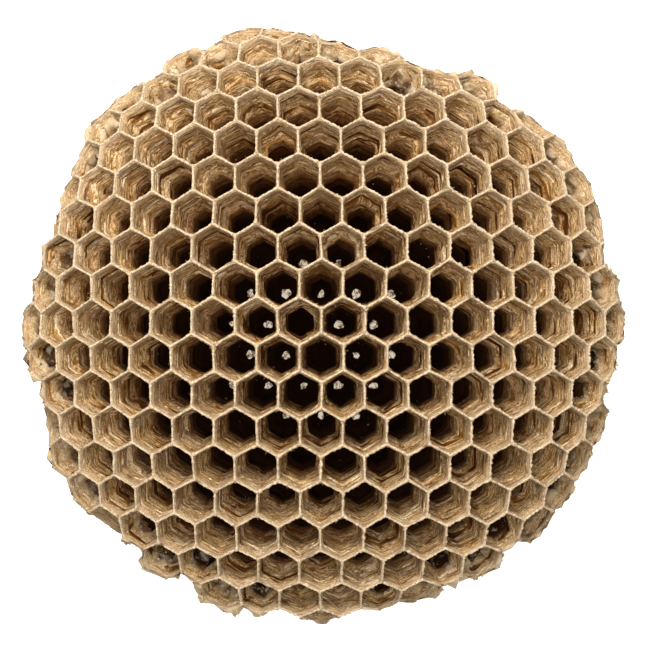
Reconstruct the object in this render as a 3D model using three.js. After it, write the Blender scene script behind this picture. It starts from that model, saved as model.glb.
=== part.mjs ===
// A hornet's nest: one domed comb of paper cells, grown in one piece with the stalk it hung from.
// Millimetres, +Z up. The comb lies as it does on a table: the stalk is cut off flat, its cut
// face is on Z = 0 with its middle at the origin, and the open cell mouths face up.

import * as THREE from "three";

// Driving dimensions: millimetres, and radians where a name says so.
const PITCH = 8.5; // from one cell to the next at the mouths, across the flats
const ROW_SQUEEZE = 0.985; // the rows lie a little closer than in a regular honeycomb
const WALL = 0.6; // paper between two cells
const FLOOR = 0.8; // paper under a cell
const FLOOR_BOWL = 0.7; // how far the middle of a cell's floor sinks below its edge
const CELL_DEPTH = 25.5; // mouth to floor in the middle of the comb
const RIM_DEPTH = 5.5; // mouth to floor at the outer corners of the rim's cells, begun last
const COMB_TOP = 33; // height of the crown of the dome of mouths
const HOLE_RADIUS = 1.0; // of the hole worn through the floor of some cells

// The dome of mouths. Its crown lies off to one side, and the dome rolls over quickly at the rim.
const CROWN = { x: 13.08, y: 2.0 }; // where the crown stands
const CROWN_CELL = { u: 1.95, v: -0.05 }; // the same place counted in cells
const CROWN_BEND = 0.052; // radians of slope gained for each cell away from the crown
const RIM_BEND = 0.69; // radians more at the rim's reach
const RIM_POWER = 5; // how suddenly the rim rolls over
const RIM_REACH = 8; // cells from the crown to the rim
const RIM_SKEW = { u: -0.224, v: 0.03 }; // share by which the rim is farther along each axis
const STEEPEST = 1.5; // radians, where the roll stops
const LEAN = { x: 0.069, y: 0.039 }; // radians that the dome tips towards +X and +Y

// The floors of the cells lie on a flatter sheet, where the cells are narrower.
const BASE_CENTRE = { x: 0.63, y: 1.68 };
const BASE_CELL = { u: 0.5, v: 0 }; // the same place counted in cells
const BASE_SCALE = 0.861; // width of a cell's foot over the width of its mouth
const BASE_SHRINK = 0.0017; // how much sooner the feet close up away from the centre
const BASE_DISH = 2.2; // how far the sheet of floors rises between the centre and the rim
const BASE_REACH = 8.6; // cells from the centre to where it is down again

// The stalk: its root covers the backs of the two middle cells, and its section keeps their shape.
const ROOT_CELLS = ["0,0", "0,-1"];
const STALK_NECK = { x: 0.75, y: 0.75, z: 3.6 }; // waist: shares of the root's size, and height
const STALK_FOOT = { x: 1.15, y: 0.95, z: 0 }; // cut face: the same
const STALK_LEAN = 0.5; // share of the root's offset that is left at the waist

// Each row of cells from the lowest to the highest: its number, and its first and last cell.
// unfinished: cells at the rim whose outer wall is low, with the share of its height that is built.
// pierced: cells with a hole in the floor.
const ROWS = [
  { row: -9, first: -1, last: 1, unfinished: { [-1]: 0.5, 0: 0.8, 1: 0.5 } },
  { row: -8, first: -2, last: 3, unfinished: { 2: 0.9, 3: 0.85 } },
  { row: -7, first: -4, last: 4 },
  { row: -6, first: -5, last: 6, unfinished: { [-5]: 0.75 } },
  { row: -5, first: -6, last: 6 },
  { row: -4, first: -6, last: 7 },
  { row: -3, first: -7, last: 7, unfinished: { [-7]: 0.75 }, pierced: [-1, 0, 1] },
  { row: -2, first: -6, last: 7, pierced: [-2, -1, 0, 1, 2] },
  { row: -1, first: -7, last: 7, pierced: [-2, -1, 1, 2] },
  { row: 0, first: -7, last: 8, unfinished: { [-7]: 0.88 }, pierced: [-2, -1, 1, 2] },
  { row: 1, first: -7, last: 7, unfinished: { [-7]: 0.9 }, pierced: [-2, -1, 0, 1, 2] },
  { row: 2, first: -6, last: 7, pierced: [0, 1] },
  { row: 3, first: -7, last: 7, unfinished: { [-7]: 0.6, 7: 0.88 } },
  { row: 4, first: -6, last: 7, unfinished: { [-6]: 0.75 } },
  { row: 5, first: -6, last: 6, unfinished: { [-6]: 0.85 } },
  { row: 6, first: -5, last: 6, unfinished: { 5: 0.9, 6: 0.8 } },
  { row: 7, first: -5, last: 4, unfinished: { [-5]: 0.9, 3: 0.8, 4: 0.9 } },
  { row: 8, first: -3, last: 2, unfinished: { 1: 0.8, 2: 0.75 } },
  { row: 9, first: -2, last: -1, unfinished: { [-2]: 0.9, [-1]: 0.75 } },
];

const SIDES = 6;
const ROW_RISE = Math.sqrt(3) / 2; // rows of a honeycomb, in pitches
const CORNER_RADIUS = 1 / Math.sqrt(3); // centre of a cell to its corner, in pitches
const BEND_STEPS = 48;
const KEY_STEPS = 1000; // corners closer than a pitch over this are the same corner
const DOWN = new THREE.Vector3(0, 0, -1);

// One corner of a cell, counted in cells: u along a row and v across the rows.
function cornerPlace(cell, side) {
  const angle = ((side + 0.5) * Math.PI) / 3;
  return {
    u: cell.u + CORNER_RADIUS * Math.cos(angle),
    v: cell.v + CORNER_RADIUS * Math.sin(angle),
  };
}

const keyOf = (place) =>
  `${Math.round(place.u * KEY_STEPS)},${Math.round(place.v * KEY_STEPS)}`;

const middleOf = (points) =>
  points
    .reduce((sum, point) => sum.add(point), new THREE.Vector3())
    .divideScalar(points.length);

const below = (point, distance) => point.clone().addScaledVector(DOWN, distance);

// How steeply the dome falls, in radians, at a number of cells from the crown.
const slopeAt = (along, reach) =>
  Math.min(CROWN_BEND * along + RIM_BEND * (along / reach) ** RIM_POWER, STEEPEST);

// Where the dome of mouths passes through a place counted in cells.
function mouthPoint(place) {
  const du = place.u - CROWN_CELL.u;
  const dv = place.v - CROWN_CELL.v;
  const away = Math.hypot(du, dv);
  const skew = away > 0 ? (RIM_SKEW.u * du + RIM_SKEW.v * dv) / away : 0;
  const reach = RIM_REACH * (1 + skew);
  let out = 0;
  let drop = 0;
  for (let step = 0; step < BEND_STEPS; step++) {
    const slope = slopeAt(((step + 0.5) / BEND_STEPS) * away, reach);
    out += Math.cos(slope) / BEND_STEPS;
    drop += (Math.sin(slope) * away) / BEND_STEPS;
  }
  return new THREE.Vector3(du * out, dv * out * ROW_SQUEEZE, -drop)
    .applyAxisAngle(new THREE.Vector3(1, 0, 0), -LEAN.y)
    .applyAxisAngle(new THREE.Vector3(0, 1, 0), LEAN.x)
    .multiplyScalar(PITCH)
    .add(new THREE.Vector3(CROWN.x, CROWN.y, COMB_TOP));
}

// Where the sheet of cell floors passes through a place counted in cells.
function floorPoint(place) {
  const du = place.u - BASE_CELL.u;
  const dv = place.v - BASE_CELL.v;
  const away = Math.hypot(du, dv);
  const scale = PITCH * BASE_SCALE * (1 - BASE_SHRINK * away * away);
  const dish = BASE_DISH * Math.sin(Math.PI * Math.min(away / BASE_REACH, 1));
  return new THREE.Vector3(
    BASE_CENTRE.x + du * scale,
    BASE_CENTRE.y + dv * scale,
    COMB_TOP - CELL_DEPTH + dish,
  );
}

// All cells, each with the keys of its corners, and all corners, each with the cells it belongs to.
function layOutCells() {
  const cells = [];
  const corners = new Map();
  for (const { row, first, last, unfinished = {}, pierced = [] } of ROWS) {
    for (let column = first; column <= last; column++) {
      const cell = {
        name: `${column},${row}`,
        u: column + (row & 1) / 2,
        v: row * ROW_RISE,
        built: unfinished[column] ?? 1,
        isPierced: pierced.includes(column),
        keys: [],
      };
      for (let side = 0; side < SIDES; side++) {
        const place = cornerPlace(cell, side);
        const key = keyOf(place);
        if (!corners.has(key)) corners.set(key, { place, cells: [] });
        corners.get(key).cells.push(cell);
        cell.keys.push(key);
      }
      cells.push(cell);
    }
  }
  return { cells, corners };
}

// The points and triangles of the solid while it is built.
class Skin {
  constructor() {
    this.points = [];
    this.triangles = [];
  }
  add(point) {
    this.points.push(point.x, point.y, point.z);
    return this.points.length / 3 - 1;
  }
  triangle(a, b, c) {
    this.triangles.push(a, b, c);
  }
  quad(a, b, c, d) {
    this.triangle(a, b, c);
    this.triangle(a, c, d);
  }
  // Joins two rings that run anticlockwise seen from above. The band from a lower ring to an upper
  // one faces out, and the band from an outer ring to an inner one faces up.
  band(from, to) {
    from.forEach((point, index) => {
      const next = (index + 1) % from.length;
      this.quad(point, from[next], to[next], to[index]);
    });
  }
  geometry() {
    const made = new THREE.BufferGeometry();
    made.setAttribute("position", new THREE.Float32BufferAttribute(this.points, 3));
    made.setIndex(this.triangles);
    made.computeVertexNormals();
    return made;
  }
}

// Sets a corner's points: on the dome, on the sheet of floors, at the back of the comb, and for a
// corner at the rim the outside of the lip.
function shapeCorner(corner, skin) {
  const isRim = corner.cells.length < 3;
  corner.mouth = mouthPoint(corner.place);
  corner.floor = floorPoint(corner.place);
  if (!isRim) {
    corner.underPoint = skin.add(below(corner.floor, FLOOR));
    return;
  }
  const thickness = corner.cells.length === 1 ? WALL / PITCH : WALL / PITCH / ROW_RISE;
  const outward = (point, sheetPoint) =>
    point.clone().sub(middleOf(corner.cells.map(sheetPoint))).multiplyScalar(thickness);
  const floorShift = outward(corner.floor, floorPoint);
  const built = Math.max(...corner.cells.map((cell) => cell.built));
  corner.mouth.lerpVectors(corner.floor, corner.mouth, built);
  corner.rimPoint = skin.add(corner.mouth.clone().add(outward(corner.mouth, mouthPoint)));
  const depth = corner.mouth.distanceTo(corner.floor);
  corner.floor.lerp(corner.mouth, Math.max(0, 1 - RIM_DEPTH / depth));
  corner.underPoint = skin.add(below(corner.floor, FLOOR).add(floorShift));
}

// The hole in a pierced cell's floor: the ring of points at one of its ends.
function holeRing(around, height, skin) {
  const middle = middleOf(around.map((corner) => corner.floor));
  return around.map((corner) => {
    const out = corner.floor.clone().sub(middle).setZ(0).setLength(HOLE_RADIUS);
    return skin.add(below(middle, height).add(out));
  });
}

// The inside of one cell, six walls and a floor sunk in the middle, and the back of that floor.
function buildCell(cell, corners, skin) {
  const around = cell.keys.map((key) => corners.get(key));
  const inset = WALL / PITCH;
  const mouthMiddle = middleOf(around.map((corner) => corner.mouth));
  const floorMiddle = middleOf(around.map((corner) => corner.floor));
  cell.mouth = around.map((corner) => skin.add(corner.mouth.clone().lerp(mouthMiddle, inset)));
  const floor = around.map((corner) => skin.add(corner.floor.clone().lerp(floorMiddle, inset)));
  const back = around.map((corner) => corner.underPoint);
  skin.band(cell.mouth, floor);
  if (cell.isPierced) {
    const upper = holeRing(around, FLOOR_BOWL, skin);
    const lower = holeRing(around, FLOOR_BOWL + FLOOR, skin);
    skin.band(floor, upper);
    skin.band(upper, lower);
    skin.band(lower, back);
    return;
  }
  const sunk = skin.add(below(floorMiddle, FLOOR_BOWL));
  floor.forEach((point, side) => skin.triangle(point, floor[(side + 1) % SIDES], sunk));
  if (ROOT_CELLS.includes(cell.name)) return;
  const bump = skin.add(below(floorMiddle, FLOOR_BOWL + FLOOR));
  back.forEach((point, side) => skin.triangle(back[(side + 1) % SIDES], point, bump));
}

// The lips between two mouths, and the outer wall of a cell that has no neighbour there.
function buildLips(cells, corners, skin) {
  const open = new Map();
  for (const cell of cells) {
    cell.keys.forEach((key, side) => {
      const next = (side + 1) % SIDES;
      const lip = [cell.mouth[next], cell.mouth[side]];
      const opposite = `${cell.keys[next]}|${key}`;
      if (open.has(opposite)) {
        skin.quad(...lip, ...open.get(opposite).lip);
        open.delete(opposite);
      } else {
        open.set(`${key}|${cell.keys[next]}`, { lip, ends: [key, cell.keys[next]] });
      }
    });
  }
  for (const { lip, ends } of open.values()) {
    const [here, there] = ends.map((key) => corners.get(key));
    skin.quad(...lip, here.rimPoint, there.rimPoint);
    skin.quad(here.underPoint, there.underPoint, there.rimPoint, here.rimPoint);
  }
}

// The small triangle where the lips of a corner's cells meet.
function buildLipCorner(key, corner, skin) {
  const turn = (cell) => Math.atan2(cell.v - corner.place.v, cell.u - corner.place.u);
  const around = [...corner.cells].sort((a, b) => turn(a) - turn(b));
  const points = around.map((cell) => cell.mouth[cell.keys.indexOf(key)]);
  if (points.length === 1) return;
  if (points.length === 2) {
    if (turn(around[1]) - turn(around[0]) > Math.PI) points.reverse();
    points.push(corner.rimPoint);
  }
  skin.triangle(...points);
}

// The corners around the backs of the root cells, in order.
function rootOutline(cells, corners) {
  const follows = new Map();
  for (const cell of cells.filter((one) => ROOT_CELLS.includes(one.name))) {
    cell.keys.forEach((key, side) => {
      const next = cell.keys[(side + 1) % SIDES];
      if (follows.get(next) === key) follows.delete(next);
      else follows.set(key, next);
    });
  }
  const keys = [follows.keys().next().value];
  while (keys.length < follows.size) keys.push(follows.get(keys.at(-1)));
  return keys.map((key) => corners.get(key));
}

// The stalk: the outline of its root drawn in to a waist, and out again to the cut face.
function buildStalk(outline, skin) {
  const middle = middleOf(outline.map((corner) => corner.floor));
  const ring = (size, lean) =>
    outline.map(({ floor }) => {
      const x = size.x * (floor.x - middle.x) + middle.x * lean;
      const y = size.y * (floor.y - middle.y) + middle.y * lean;
      return skin.add(new THREE.Vector3(x, y, size.z));
    });
  const root = outline.map((corner) => corner.underPoint);
  const neck = ring(STALK_NECK, STALK_LEAN);
  const foot = ring(STALK_FOOT, 0);
  skin.band(neck, root);
  skin.band(foot, neck);
  const centre = skin.add(new THREE.Vector3(0, 0, STALK_FOOT.z));
  foot.forEach((point, index) => skin.triangle(centre, foot[(index + 1) % foot.length], point));
}

function buildComb() {
  const skin = new Skin();
  const { cells, corners } = layOutCells();
  corners.forEach((corner) => shapeCorner(corner, skin));
  cells.forEach((cell) => buildCell(cell, corners, skin));
  buildLips(cells, corners, skin);
  corners.forEach((corner, key) => buildLipCorner(key, corner, skin));
  buildStalk(rootOutline(cells, corners), skin);
  const paper = new THREE.MeshStandardMaterial({ color: 0xb79a6a, roughness: 0.9 });
  const comb = new THREE.Mesh(skin.geometry(), paper);
  comb.name = "comb";
  return comb;
}

const nest = new THREE.Group();
nest.add(buildComb());
export default nest;
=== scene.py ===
"""The looks of a hornet's comb: fine paper cells, pulp lips, loose fibres and a horny stalk.

Sizes are in millimetres inside the classes and in metres once they are in a mesh. The comb lies
with its cell mouths up on the flat cut of its stalk, which is centred on the origin at Z = 0.
"""

from __future__ import annotations

import logging
import math
import random
from dataclasses import dataclass, field, replace
from enum import Enum
from typing import Any, Iterator, Sequence

import bpy
import numpy as np
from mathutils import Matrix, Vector

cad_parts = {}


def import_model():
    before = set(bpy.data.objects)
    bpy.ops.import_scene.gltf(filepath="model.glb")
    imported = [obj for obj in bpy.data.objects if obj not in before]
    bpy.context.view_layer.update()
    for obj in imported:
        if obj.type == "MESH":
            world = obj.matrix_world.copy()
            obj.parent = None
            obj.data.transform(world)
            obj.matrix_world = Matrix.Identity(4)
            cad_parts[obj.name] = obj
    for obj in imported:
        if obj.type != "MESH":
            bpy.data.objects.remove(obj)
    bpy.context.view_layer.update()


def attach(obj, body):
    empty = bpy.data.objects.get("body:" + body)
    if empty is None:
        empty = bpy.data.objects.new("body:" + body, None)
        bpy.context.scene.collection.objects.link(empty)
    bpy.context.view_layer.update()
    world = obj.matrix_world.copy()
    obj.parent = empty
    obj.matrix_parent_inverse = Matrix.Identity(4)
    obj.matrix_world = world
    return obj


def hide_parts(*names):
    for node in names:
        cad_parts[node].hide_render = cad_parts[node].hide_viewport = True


LOG = logging.getLogger("hornet_comb")
MM = 0.001
SIDES = 6
ROW_RISE = math.sqrt(3) / 2
CORNER_RADIUS = 1 / math.sqrt(3)
LEDGE_DROP = 0.3  # depth over which a ledge steps in
LEDGES = (((0.25, 0.5), (0.3, 0.95)), ((0.6, 0.82), (0.3, 0.8)))  # share of the depth; step
LEDGED_FROM = 7.0  # shallower cells have no ledges
YOUNG_DEPTHS = (16.0, 9.0)  # cells of these depths are hardly and wholly young
YOUTHS = (0.05, 1.0)  # least and most
AGED_DEPTHS = (4.0, 16.0)
AGES = (0.1, 1.0)
SEED_STEP = 3.7  # keeps the patterns of two cells apart
BODY = "root"

Point = np.ndarray
Key = tuple[int, int]
Object = bpy.types.Object
Socket = bpy.types.NodeSocket
Tree = bpy.types.NodeTree
SOCKET_KINDS = {
    float: "NodeSocketFloat",
    int: "NodeSocketInt",
    bpy.types.Material: "NodeSocketMaterial",
}


class Surface(Enum):
    """The kinds of surface on the comb, in the order of its material slots."""

    CELL = 0
    OUTSIDE = 1
    STALK = 2


def around(ring: Sequence[Any]) -> Iterator[tuple[Any, Any]]:
    """Each thing in a ring with the one after it."""
    return zip(ring, [*ring[1:], ring[0]])


# ---------------------------------------------------------------- nodes


def linear(code: str) -> tuple[float, float, float, float]:
    """Turns an sRGB colour into the linear one that a shader wants.

    Args:
        code: six hex digits, red first.

    Returns:
        Red, green, blue and an alpha of 1.
    """
    shares = [int(code[at : at + 2], 16) / 255 for at in (0, 2, 4)]
    bent = [s / 12.92 if s <= 0.04045 else ((s + 0.055) / 1.055) ** 2.4 for s in shares]
    return (bent[0], bent[1], bent[2], 1.0)


def add_node(tree: Tree, kind: str, links: dict[str | int, Any], **settings: Any) -> bpy.types.Node:
    """Adds one node with its settings and what goes into it.

    Args:
        tree: the node tree that gets it.
        kind: the node's type name.
        links: for each input, by name or number, a socket to link or a value to set.
        settings: values for the node's own properties; stops fills a colour ramp.

    Returns:
        The new node.
    """
    node = tree.nodes.new(kind)
    for name, value in settings.items():
        if name == "stops":
            fill_ramp(node.color_ramp, value)
        else:
            setattr(node, name, value)
    for name, value in links.items():
        if isinstance(value, Socket):
            tree.links.new(value, node.inputs[name])
        else:
            node.inputs[name].default_value = value
    return node


def fill_ramp(ramp: bpy.types.ColorRamp, stops: Sequence[tuple[float, str]]) -> None:
    """Gives a colour ramp its stops.

    Args:
        ramp: the ramp, which starts with two stops.
        stops: each stop's position and sRGB hex colour, in rising order.
    """
    while len(ramp.elements) < len(stops):
        ramp.elements.new(1.0)
    for element, (position, code) in zip(ramp.elements, stops):
        element.position = position
        element.color = linear(code)


@dataclass(frozen=True)
class Graph:
    """A node tree, with a short way to add each node that is often needed."""

    tree: Tree

    def add(
        self, kind: str, links: dict | None = None, output: int | str = 0, **settings: Any
    ) -> Socket:
        """Adds a node and gives one of its outputs."""
        return add_node(self.tree, kind, links or {}, **settings).outputs[output]

    def end(self, kind: str, result: Socket) -> None:
        """Adds the tree's output node."""
        add_node(self.tree, kind, {0: result})

    def math(self, operation: str, *numbers: Any) -> Socket:
        """Reckons with numbers."""
        return self.add("ShaderNodeMath", dict(enumerate(numbers)), operation=operation)

    def vector(self, operation: str, *vectors: Any) -> Socket:
        """Reckons with vectors."""
        return self.add("ShaderNodeVectorMath", dict(enumerate(vectors)), operation=operation)

    def scaled(self, vector: Socket, factor: Socket) -> Socket:
        """Makes a vector longer, or a colour brighter."""
        return self.add("ShaderNodeVectorMath", {0: vector, "Scale": factor}, operation="SCALE")

    def noise(
        self, where: Socket, scale: float, detail: float, rough: float = 0.5, warp: float = 0.0
    ) -> Socket:
        """Makes a noise."""
        links = {"Vector": where, "Scale": scale, "Detail": detail, "Roughness": rough}
        return self.add("ShaderNodeTexNoise", {**links, "Distortion": warp})

    def place(self) -> Socket:
        """The place on the piece, for a material."""
        return self.add("ShaderNodeTexCoord", output="Object")

    def position(self) -> Socket:
        """The place on the piece, for a geometry tree."""
        return self.add("GeometryNodeInputPosition")

    def attribute(self, name: str, output: str = "Fac") -> Socket:
        """Reads one of the paper's own attributes, for a material."""
        return self.add("ShaderNodeAttribute", output=output, attribute_name=name)

    def named(self, name: str, kind: str = "FLOAT") -> Socket:
        """Reads one of the paper's own attributes, for a geometry tree."""
        return self.add("GeometryNodeInputNamedAttribute", {"Name": name}, data_type=kind)

    def share(self, value: Socket, *ends: float) -> Socket:
        """Turns the range between the first two ends smoothly into that between the others."""
        links = dict(enumerate((value, *ends)))
        return self.add("ShaderNodeMapRange", links, interpolation_type="SMOOTHSTEP")

    def blend(self, factor: Socket, one: Socket, other: Socket) -> Socket:
        """Goes from one number to another with a factor."""
        return self.add("ShaderNodeMix", {0: factor, 2: one, 3: other})

    def mix(self, factor: Socket, under: Socket, over: str, blend: str) -> Socket:
        """Lays one colour over another."""
        links = {0: factor, 6: under, 7: linear(over)}
        return self.add("ShaderNodeMix", links, 2, data_type="RGBA", blend_type=blend)

    def ramp(self, factor: Socket, stops: Sequence[tuple[float, str]]) -> Socket:
        """Turns a number into a colour."""
        return self.add("ShaderNodeValToRGB", {"Fac": factor}, "Color", stops=stops)

    def surface(self, finish: NestPaper | PlainFinish, colour: Socket, height: Socket) -> None:
        """Ends a material with a rough surface.

        Args:
            finish: gives the roughness, the sheen and the size of the bump.
            colour: the colour.
            height: the shape of the bump.
        """
        bump = {"Strength": finish.bump_strength, "Distance": finish.bump_mm * MM}
        looks = {
            "Base Color": colour,
            "Roughness": finish.roughness,
            "Specular IOR Level": finish.sheen,
            "Normal": self.add("ShaderNodeBump", {**bump, "Height": height}),
        }
        self.end("ShaderNodeOutputMaterial", self.add("ShaderNodeBsdfPrincipled", looks))


def new_material(name: str) -> tuple[bpy.types.Material, Graph]:
    """Makes an empty node material.

    Args:
        name: the material's name.

    Returns:
        The material and its nodes, of which there are none yet.
    """
    material = bpy.data.materials.new(name)
    material.use_nodes = True
    material.node_tree.nodes.clear()
    return material, Graph(material.node_tree)


# ---------------------------------------------------------------- finishes


@dataclass(frozen=True)
class NestPaper:
    """Hornet paper: chewed rotten wood laid down in strips along the lips of the cells.

    Each strip comes from another piece of wood, so cream, tan, umber and rust bands run round
    every cell. Old cells are stained brown and then black by the brood raised in them, and this
    darkening towards the floor also stands for the shade deep in a cell, so it is partly painted
    shade. The young cells at the rim stay pale and have whitish patches, partly pale paper and
    partly painted light where thin paper would let the table's glow through. Creases get dirt
    and painted shade, bumps a painted highlight, and the side facing the key light is painted
    brighter.
    """

    name: str = "nest_paper_banded"
    band_mm: float = 1.75  # from one strip of pulp to the next
    band_run: float = 5.0  # a strip is this many times as long as it is wide
    fibre_mm: float = 0.20  # wood fibres, drawn coarser than the real 0.02 mm so that they show
    fibre_run: float = 6.0
    grain_mm: float = 0.28  # the felt between the fibres
    warp: float = 0.9
    drawn_rough: float = 0.62  # how strong the finer layers of the drawn-out noises are
    blotch_mm: float = 1.9
    blotch_rough: float = 0.6
    fine_detail: float = 3.0  # finer layers of a noise
    coarse_detail: float = 2.0
    bands: tuple[tuple[float, str], ...] = (
        (0.24, "3C1E08"),
        (0.36, "865A28"),
        (0.43, "CCAC7A"),
        (0.49, "6C4518"),
        (0.55, "D1B385"),
        (0.61, "774B1A"),
        (0.67, "E2CDA9"),
        (0.78, "A97C42"),
    )
    noise_span: tuple[float, float] = (0.3, 0.7)  # nearly all of a noise lies between these
    fibre_contrast: tuple[float, float] = (0.74, 1.24)
    grain_contrast: tuple[float, float] = (0.55, 1.42)
    young_lumps: tuple[float, float] = (0.1, 0.5)  # the paper is young where it is this lumpy
    even: str = "A28C6A"  # the young paper's strips run into one another
    even_share: float = 0.62
    lip: str = "D4BC9E"
    lip_mm: float = 2.3
    lip_share: float = 0.42
    # The brown stain and the near-black layer below it are partly the real stain of the brood and
    # partly painted shade: they darken the walls towards the floor, where a deep cell lies in shade.
    stain_and_shade: str = "B28342"
    stain_and_shade_down: tuple[float, float] = (0.18, 0.75)  # shares of the way to the floor
    soot_and_shade: str = "281305"
    soot_and_shade_down: tuple[float, float] = (0.34, 0.84)
    soot_and_shade_sides: tuple[float, float] = (2.2, 0.8)  # painted shade: how much darker the deep parts get on the side away from the key light and on the side facing it
    # Pale patches on the young paper: partly pale thin paper, partly painted light where thin paper
    # would let the glowing table's light through.
    pale_backlit_patch: str = "D0C2AA"
    patch_mm: float = 2.2
    patch_from: float = 0.53
    patch_blur: float = 0.14
    patch_share: float = 0.62
    crease_dirt_and_shade: str = "3E2409"  # dirt and painted shade in the creases, which go this deep
    crease_dirt_and_shade_mm: tuple[float, float] = (-0.6, 0.4)
    crease_dirt_and_shade_share: float = 0.6
    bump: str = "C8B698"  # painted highlight on the bumps, which stand this high
    bump_highlight_mm: tuple[float, float] = (0.35, 1.3)
    bump_highlight_share: float = 0.5
    key_side_mm: tuple[float, float] = (-60.0, 60.0)  # along the way towards the side that faces the key light
    key_light_way: tuple[float, float, float] = (-0.3, 0.95, 0.0)
    # Painted light, partly: the colour is scaled from the first factor on the side away from the key
    # light to the second on the side facing it; partly it also stands for the paler, newer paper
    # there.
    fresh: tuple[float, float] = (0.93, 1.13)
    roughness: float = 0.86
    sheen: float = 0.08  # far less mirror-like than smooth paper
    bump_mm: float = 0.16
    bump_strength: float = 1.0

    def drawn_out(self, graph: Graph, run: float, width: float) -> Socket:
        """Makes a noise that is drawn out round each cell, and different in each.

        Args:
            graph: the material's nodes.
            run: how many times as long as it is wide a mark is.
            width: how wide it is, from the lip down.

        Returns:
            The socket with the noise.
        """
        steps = (1 / (run * width), 1 / (run * width), 1 / width)
        where = graph.vector("MULTIPLY", graph.attribute("paper", "Vector"), steps)
        where = graph.vector("ADD", where, graph.attribute("seed", "Vector"))
        return graph.noise(where, 1.0, self.coarse_detail, self.drawn_rough, self.warp)

    def blotches(self, graph: Graph, size: float, detail: float) -> Socket:
        """Makes a noise without a direction, of a size in millimetres."""
        return graph.noise(graph.place(), 1 / (size * MM), detail, self.blotch_rough)

    def weave(self, graph: Graph, young: Socket) -> list[Socket]:
        """Makes the pattern of the paper, which is drawn out in old cells only.

        Args:
            graph: the material's nodes.
            young: how young the paper is.

        Returns:
            The noises of the strips, of the wood fibres and of the felt between them.
        """
        strips = self.drawn_out(graph, self.band_run, self.band_mm)
        lumps = self.blotches(graph, self.blotch_mm, self.fine_detail)
        fibres = self.drawn_out(graph, self.fibre_run, self.fibre_mm)
        specks = self.blotches(graph, 2 * self.fibre_mm, self.coarse_detail)
        return [
            graph.blend(young, strips, lumps),
            graph.blend(young, fibres, specks),
            self.blotches(graph, self.grain_mm, self.fine_detail),
        ]

    def bare_paper(self, graph: Graph, strips: Socket, fibres: Socket, grain: Socket) -> Socket:
        """Colours the paper as it was laid down, before any stain, painted shade or painted
        highlight.

        Args:
            graph: the material's nodes.
            strips: the noise of the strips.
            fibres: the noise of the wood fibres.
            grain: the noise of the felt between them.

        Returns:
            The socket with the colour.
        """
        colour = graph.ramp(graph.math("ADD", strips, graph.attribute("tone")), self.bands)
        for noise, contrast in ((fibres, self.fibre_contrast), (grain, self.grain_contrast)):
            colour = graph.scaled(colour, graph.share(noise, *self.noise_span, *contrast))
        return colour

    def layers(self, graph: Graph, young: Socket, side_shade: Socket) -> list[tuple[Socket, str, str]]:
        """Lists what lies over the bare paper, from the lowest layer up.

        Args:
            graph: the material's nodes.
            young: how young the paper is.
            side_shade: how much painted shade the deep parts get on this side of the comb, more on
                the side away from the key light.

        Returns:
            For each layer, how much of it shows, its colour and how it is laid on.
        """
        depth = graph.add("ShaderNodeSeparateXYZ", {0: graph.attribute("paper", "Vector")}, 2)
        age, down, relief = (graph.attribute(name) for name in ("age", "down", "relief"))
        # Darkening towards the floor: partly brood stain, partly painted shade of the deep cell.
        stain_and_shade = graph.math("MULTIPLY", graph.share(down, *self.stain_and_shade_down, 0.0, 1.0), age)
        soot_and_shade = graph.math("MULTIPLY", graph.share(down, *self.soot_and_shade_down, 0.0, 1.0), age)
        patches = self.blotches(graph, self.patch_mm, self.fine_detail)
        edge = (self.patch_from, self.patch_from + self.patch_blur)
        patches = graph.share(patches, *edge, 0.0, self.patch_share)
        crease_dirt_and_shade = [side * MM for side in self.crease_dirt_and_shade_mm]
        high = [side * MM for side in self.bump_highlight_mm]
        return [
            (graph.math("MULTIPLY", young, self.even_share), self.even, "MIX"),
            (graph.share(depth, 0.0, self.lip_mm, self.lip_share, 0.0), self.lip, "MIX"),
            # Partly brood stain, partly painted shade towards the floor.
            (stain_and_shade, self.stain_and_shade, "MULTIPLY"),
            (graph.math("MULTIPLY", soot_and_shade, side_shade), self.soot_and_shade, "MIX"),
            # Partly painted light: pale patches where thin paper would let the table's light through.
            (graph.math("MULTIPLY", patches, young), self.pale_backlit_patch, "MIX"),
            # Creases darkened: partly dirt, partly painted shade.
            (graph.share(relief, *crease_dirt_and_shade, self.crease_dirt_and_shade_share, 0.0), self.crease_dirt_and_shade, "MIX"),
            # Painted highlight: the raised bumps are made paler.
            (graph.share(relief, *high, 0.0, self.bump_highlight_share), self.bump, "MIX"),
        ]

    def material(self) -> bpy.types.Material:
        """Builds the material.

        Returns:
            The finished material.
        """
        material, graph = new_material(self.name)
        young = graph.share(graph.attribute("lumps"), *self.young_lumps, 0.0, 1.0)
        strips, fibres, grain = self.weave(graph, young)
        way = {0: graph.place(), 1: self.key_light_way}
        along = graph.add("ShaderNodeVectorMath", way, "Value", operation="DOT_PRODUCT")
        key_side_span = [side * MM for side in self.key_side_mm]
        # Painted shade: the deep parts of the cells are darkened more on the side away from the key
        # light.
        side_shade = graph.share(along, *key_side_span, *self.soot_and_shade_sides)
        colour = self.bare_paper(graph, strips, fibres, grain)
        for factor, over, blend in self.layers(graph, young, side_shade):
            colour = graph.mix(factor, colour, over, blend)
        # Painted light: brighter towards the key light's side.
        colour = graph.scaled(colour, graph.share(along, *key_side_span, *self.fresh))
        height = graph.math("ADD", graph.math("ADD", strips, fibres), grain)
        graph.surface(self, colour, height)
        return material


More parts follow.
